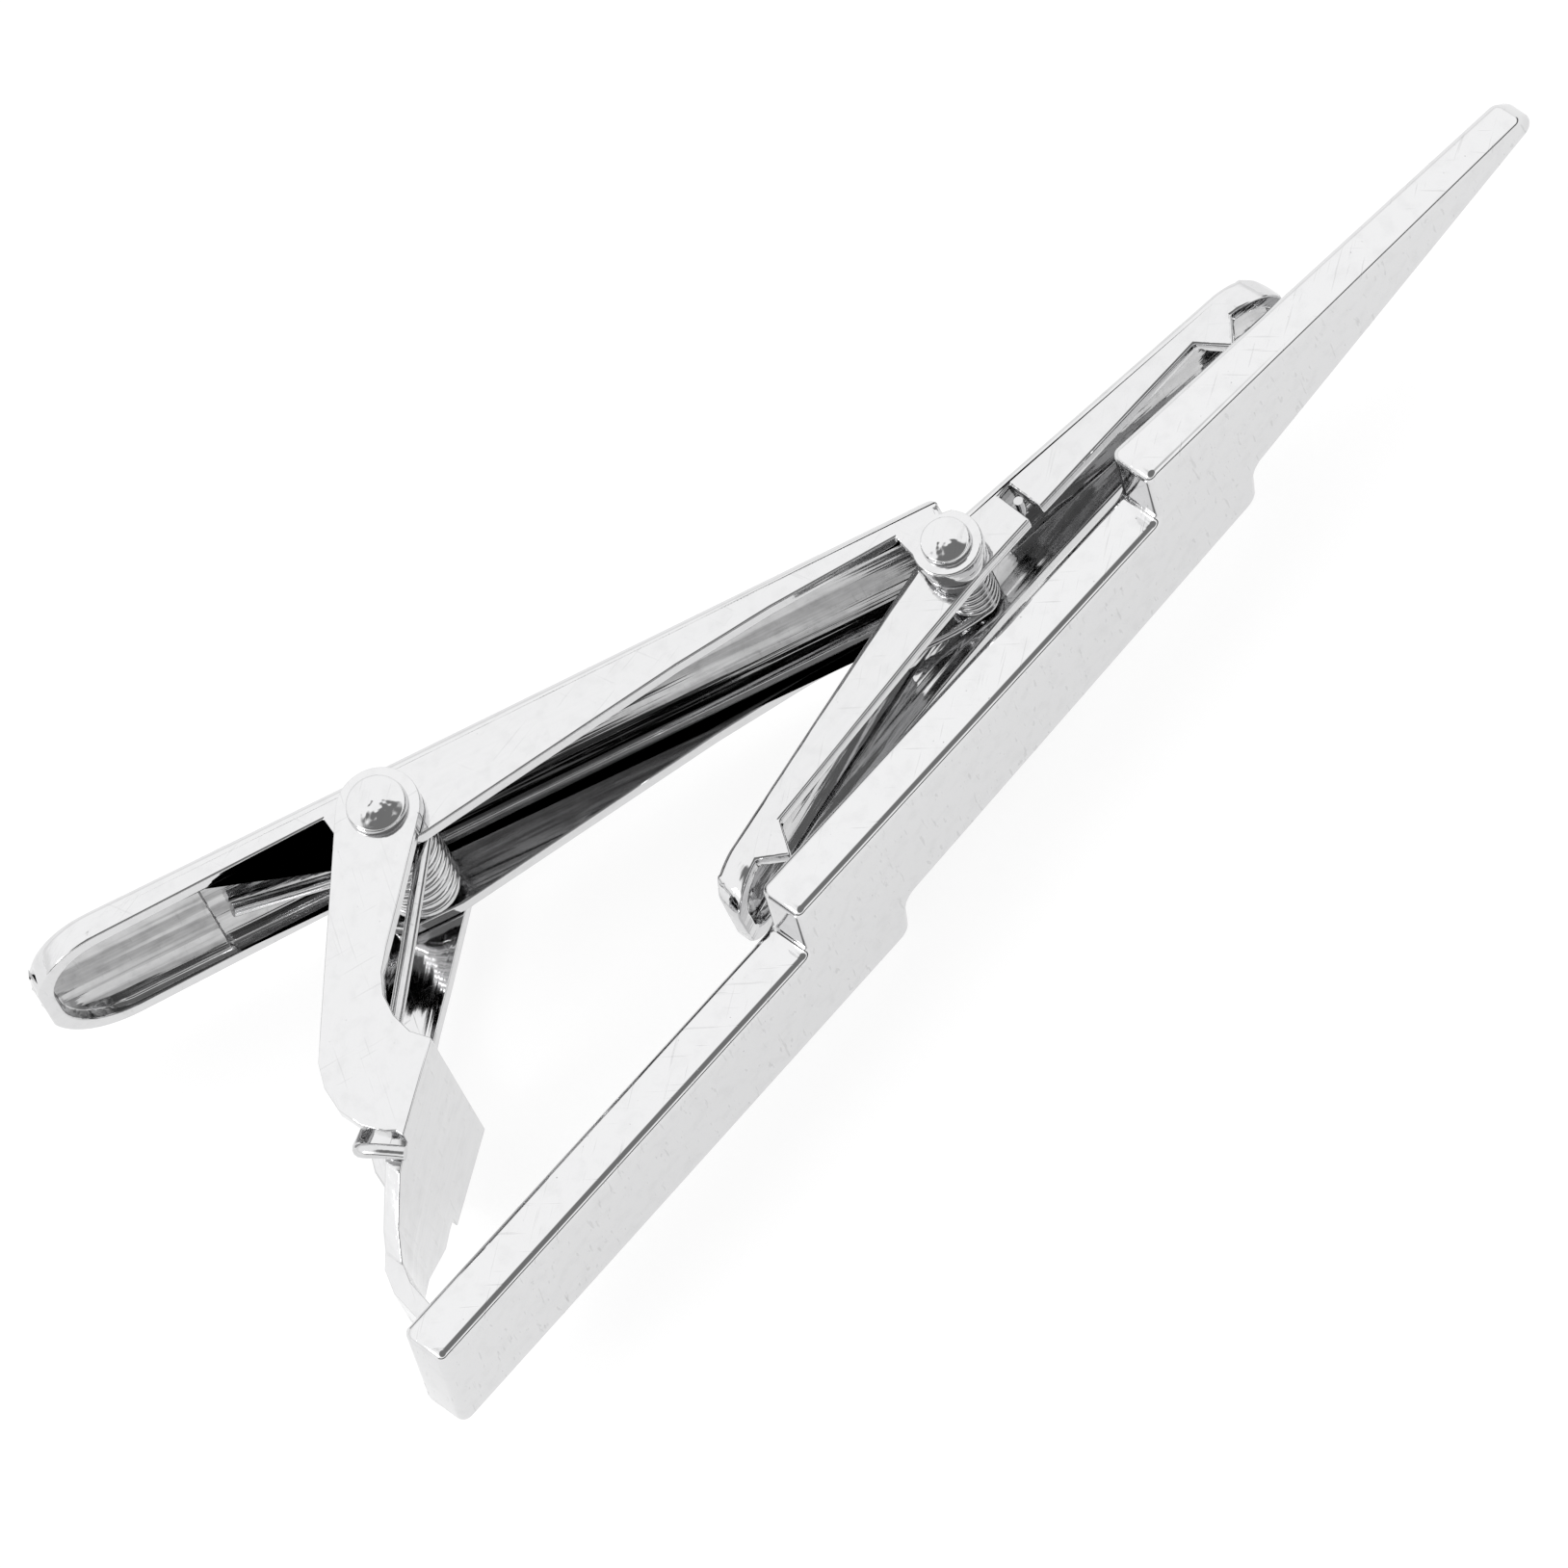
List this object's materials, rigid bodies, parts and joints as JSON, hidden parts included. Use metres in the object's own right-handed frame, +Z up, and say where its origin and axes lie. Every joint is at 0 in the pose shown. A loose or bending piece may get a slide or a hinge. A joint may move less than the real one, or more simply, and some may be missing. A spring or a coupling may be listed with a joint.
{
  "type": "alligator hair clip",
  "caption": "Chrome spring clip with a lightning-bolt front bar, a folded hinge bracket, a sprung thumb lever and a rocking toothed jaw.",
  "frame": {"origin": "under the middle of the clip's box, on the surface that the clip lies on", "axes": "+X from the bar's blunt end to its tip, +Y from the bar's front face to the mechanism behind it, +Z up along both hinge pins"},
  "size_m": [0.0588, 0.0222, 0.0093],
  "materials": {
    "cast_chrome": "bright chrome plate on a polished casting",
    "sheet_chrome": "bright chrome plate on stamped steel sheet",
    "pin_chrome": "bright plated rivet steel",
    "spring_wire": "drawn spring wire, plated",
    "solder": "plated solder run, slightly lumpy"
  },
  "bodies": {
    "bar": {"bolt_bar": "cast_chrome", "hinge_bracket": "sheet_chrome", "solder_joint": "solder", "bracket_pin": "pin_chrome", "lever_spring": "spring_wire"},
    "lever": {"lever_channel": "sheet_chrome", "jaw_pin": "pin_chrome", "jaw_spacers": "pin_chrome", "jaw_spring": "spring_wire"},
    "jaw": {"rocking_jaw": "sheet_chrome"}
  },
  "joints": [
    {"name": "lever_hinge", "type": "hinge", "parent": "bar", "child": "lever", "pos_m": [-0.01473, 0.00355, 0.00467], "axis": [0, 0, 1], "range_deg": [0, 35], "stiffness_Nm_per_rad": 0.03, "springref_deg": -28.65, "deforming": ["lever_spring"]},
    {"name": "jaw_rock", "type": "hinge", "parent": "lever", "child": "jaw", "pos_m": [0.00439, -0.00627, 0.00467], "axis": [0, 0, 1], "range_deg": [0, 2.5], "stiffness_Nm_per_rad": 0.0006, "springref_deg": -1.15, "deforming": ["jaw_spring"]}
  ]
}
